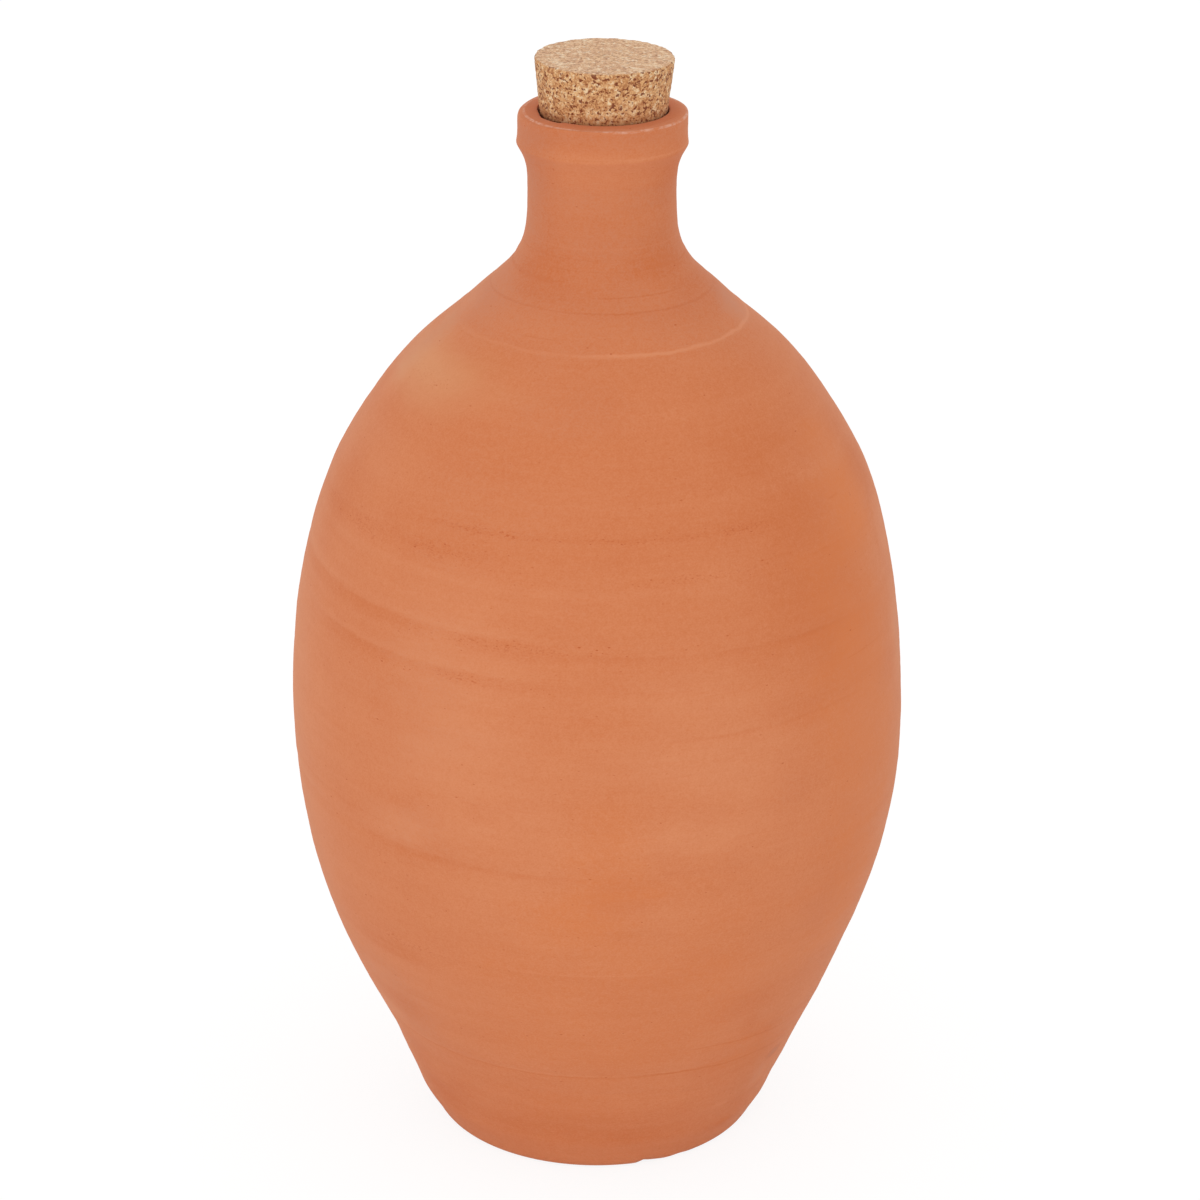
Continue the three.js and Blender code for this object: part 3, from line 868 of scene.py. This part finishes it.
    normal = bumpOf(tree, grit, 0.05, 0.08 * mm)
    normal = bumpOf(tree, grain, 0.08, 0.16 * mm, normal)
    normal = bumpOf(tree, hair, 0.12, 0.1 * mm, normal)
    normal = bumpOf(tree, streak, 0.2, 0.3 * mm, normal)
    normal = bumpOf(tree, speck, -0.4, 0.25 * mm, normal)
    feed(tree, normal, shader.inputs["Normal"])
    return clay


jarPiece.data.materials.append(buildClay())
print("clay finished")


# the pressed cork granules

corkColours = {
    "granules": [
        (0.0, (0.46, 0.19, 0.07, 1)), (0.25, (0.66, 0.33, 0.135, 1)), (0.5, (0.76, 0.42, 0.185, 1)),
        (0.75, (0.8, 0.49, 0.24, 1)), (1.0, (0.88, 0.66, 0.41, 1))],
    "seam": (0.42, 0.15, 0.06, 1),
    "hole": (0.19, 0.038, 0.012, 1),
    "rimShadow": (0.4, 0.155, 0.06, 1),        # painted shade: the cork darkens just above the mouth, where the rim shades it
    "gapShade": (0.11, 0.032, 0.014, 1),    # painted shade: a dark ring on the cork in the gap inside the mouth's edge
    "topLight": (1.09, 1.21, 1.4, 1),
    "topDust": (0.76, 0.55, 0.4, 1),
}


def buildCork():
    cork, tree, shader = newFinish("pressedCork")
    place = addNode(tree, "ShaderNodeTexCoord").outputs["Object"]
    parts = addNode(tree, "ShaderNodeSeparateXYZ")
    feed(tree, place, parts.inputs[0])
    corkHeight = parts.outputs["Z"]
    bend = addNode(tree, "ShaderNodeTexNoise")
    feed(tree, place, bend.inputs["Vector"])
    bend.inputs["Scale"].default_value = 900
    shifted = addNode(tree, "ShaderNodeVectorMath", operation="MULTIPLY_ADD")
    feed(tree, bend.outputs["Color"], shifted.inputs[0])
    shifted.inputs[1].default_value = (0.0008, 0.0008, 0.0008)
    feed(tree, place, shifted.inputs[2])
    warped = shifted.outputs[0]

    def cells(scale, feature="F1"):
        node = addNode(tree, "ShaderNodeTexVoronoi", feature=feature)
        feed(tree, warped, node.inputs["Vector"])
        node.inputs["Scale"].default_value = scale
        return node

    def lotOf(node):
        split = addNode(tree, "ShaderNodeSeparateColor")
        feed(tree, node.outputs["Color"], split.inputs[0])
        return split.outputs

    coarse = lotOf(cells(800))
    coarseSeam = cells(800, "DISTANCE_TO_EDGE").outputs["Distance"]
    fine = lotOf(cells(2200))
    ramp = addNode(tree, "ShaderNodeValToRGB")
    stops = corkColours["granules"]
    while len(ramp.color_ramp.elements) < len(stops):
        ramp.color_ramp.elements.new(0.5)
    for element, (position, colour) in zip(ramp.color_ramp.elements, stops):
        element.position = position
        element.color = colour
    pick = calc(tree, "MULTIPLY_ADD", coarse[0], 0.5, calc(tree, "MULTIPLY", fine[1], 0.5))
    pick = between(tree, pick, 0.12, 0.95)
    feed(tree, pick, ramp.inputs["Fac"])
    colour = ramp.outputs["Color"]
    seam = between(tree, coarseSeam, 0.0, 0.16, 1, 0)
    colour = mixColour(tree, calc(tree, "MULTIPLY", seam, 0.35), colour, corkColours["seam"])

    # the flat top is sawn and dusty, so its granules show less
    facing = addNode(tree, "ShaderNodeNewGeometry")
    facingParts = addNode(tree, "ShaderNodeSeparateXYZ")
    feed(tree, facing.outputs["True Normal"], facingParts.inputs[0])
    onTop = between(tree, facingParts.outputs["Z"], 0.6, 0.9)
    colour = mixColour(tree, onTop, colour, corkColours["topLight"], "MULTIPLY")
    colour = mixColour(tree, calc(tree, "MULTIPLY", onTop, 0.3), colour, corkColours["topDust"])

    # painted shade from the rim, fading up the cork from the mouth
    shadedByRim = between(tree, corkHeight, 300 * mm, 303.4 * mm, 0.7, 0)
    colour = mixColour(tree, shadedByRim, colour, corkColours["rimShadow"])
    # painted shade in the gap between the cork and the mouth's edge
    gapShade = calc(tree, "MULTIPLY", between(tree, corkHeight, 300.3 * mm, 299.6 * mm),
                   between(tree, corkHeight, 297.6 * mm, 298.9 * mm, 0, 0.75))
    gapShade = calc(tree, "MULTIPLY", gapShade, between(tree, coarse[2], 0, 1, 0.15, 0.9))
    colour = mixColour(tree, gapShade, colour, corkColours["gapShade"])

    holes = noiseOf(tree, stretched(tree, place, (1, 1, 1.2)), 1050, 2, 0.55)
    hole = between(tree, holes, 0.565, 0.61)
    holeShare = between(tree, onTop, 0, 1, 0.92, 0.42)
    colour = mixColour(tree, calc(tree, "MULTIPLY", hole, holeShare), colour, corkColours["hole"])
    feed(tree, colour, shader.inputs["Base Color"])
    feed(tree, between(tree, coarse[1], 0, 1, 0.7, 0.92), shader.inputs["Roughness"])
    shader.inputs["Specular IOR Level"].default_value = 0.3

    normal = bumpOf(tree, coarseSeam, 0.6, 0.35 * mm)
    normal = bumpOf(tree, fine[0], 0.4, 0.2 * mm, normal)
    normal = bumpOf(tree, hole, -0.8, 0.4 * mm, normal)
    feed(tree, normal, shader.inputs["Normal"])
    return cork


corkPiece.data.materials.append(buildCork())
print("cork finished")


# floor, world, lamps and camera

studio = {
    "ambient": 0.915,
    "keyPower": 9,
    "keyPlace": (-0.9, -2.4, 0.4),
    "lampSize": 1.6,
    "floorShade": 0.9,        # how much of the light the floor gives back
    "floorGlow": 0.86,         # lifts the floor to white for the camera alone
    "floorSeen": 0.18,
}


def buildFloor():
    deselectAll()
    bpy.ops.mesh.primitive_plane_add(size=12, location=(0, 2, 0))
    floor = bpy.context.object
    floor.name = "floor"
    material, tree, shader = newFinish("paleFloor")
    shade = studio["floorShade"]
    shader.inputs["Base Color"].default_value = (shade, shade, shade, 1)
    shader.inputs["Roughness"].default_value = 0.9
    path = addNode(tree, "ShaderNodeLightPath")
    seen = addNode(tree, "ShaderNodeBsdfDiffuse")
    seen.inputs["Color"].default_value = (studio["floorSeen"],) * 3 + (1,)
    glow = addNode(tree, "ShaderNodeEmission")
    glow.inputs["Strength"].default_value = studio["floorGlow"]
    both = addNode(tree, "ShaderNodeAddShader")
    choose = addNode(tree, "ShaderNodeMixShader")
    feed(tree, seen.outputs[0], both.inputs[0])
    feed(tree, glow.outputs[0], both.inputs[1])
    seenRays = calc(tree, "MAXIMUM", path.outputs["Is Camera Ray"], path.outputs["Is Glossy Ray"])
    seenRays = calc(tree, "MAXIMUM", seenRays, path.outputs["Is Transmission Ray"])
    feed(tree, seenRays, choose.inputs[0])
    feed(tree, shader.outputs[0], choose.inputs[1])
    feed(tree, both.outputs[0], choose.inputs[2])
    feed(tree, choose.outputs[0], tree.nodes["Material Output"].inputs["Surface"])
    floor.data.materials.append(material)


def buildWorld():
    world = bpy.data.worlds.new("studio")
    bpy.context.scene.world = world
    world.use_nodes = True
    tree = world.node_tree
    background = tree.nodes["Background"]
    background.inputs["Color"].default_value = (1, 1, 1, 1)
    path = addNode(tree, "ShaderNodeLightPath")
    seen = calc(tree, "MAXIMUM", path.outputs["Is Camera Ray"], path.outputs["Is Glossy Ray"])
    seen = calc(tree, "MAXIMUM", seen, path.outputs["Is Transmission Ray"])
    feed(tree, between(tree, seen, 0, 1, studio["ambient"], 1), background.inputs["Strength"])


def addLamp(name, place, power):
    bpy.ops.object.light_add(type="AREA", location=place)
    lamp = bpy.context.object
    lamp.name = name
    lamp.data.energy = power
    lamp.data.size = studio["lampSize"]
    aim = Vector((0, 0, 0.15)) - Vector(place)
    lamp.rotation_euler = aim.to_track_quat("-Z", "Y").to_euler()


buildFloor()
buildWorld()
addLamp("keySoftbox", studio["keyPlace"], studio["keyPower"])

view = {
    "pitch": 22.2,             # degrees down
    "roll": 0.36,
    "lens": 117,
    "distance": 1.1083,
    "aimHeight": 0.1569,
    "sideways": 0.0006,
}
pitch = math.radians(view["pitch"])
back = Vector((0, -math.cos(pitch), math.sin(pitch)))
aim = Vector((view["sideways"], 0, view["aimHeight"]))
bpy.ops.object.camera_add(location=aim + back * view["distance"])
camera = bpy.context.object
turn = Matrix.Rotation(math.pi / 2 - pitch, 4, "X") @ Matrix.Rotation(math.radians(view["roll"]), 4, "Z")
camera.rotation_euler = turn.to_euler()
camera.data.lens = view["lens"]
camera.data.sensor_width = 36
bpy.context.scene.camera = camera
bpy.context.scene.view_settings.view_transform = "Standard"
print("studio set")
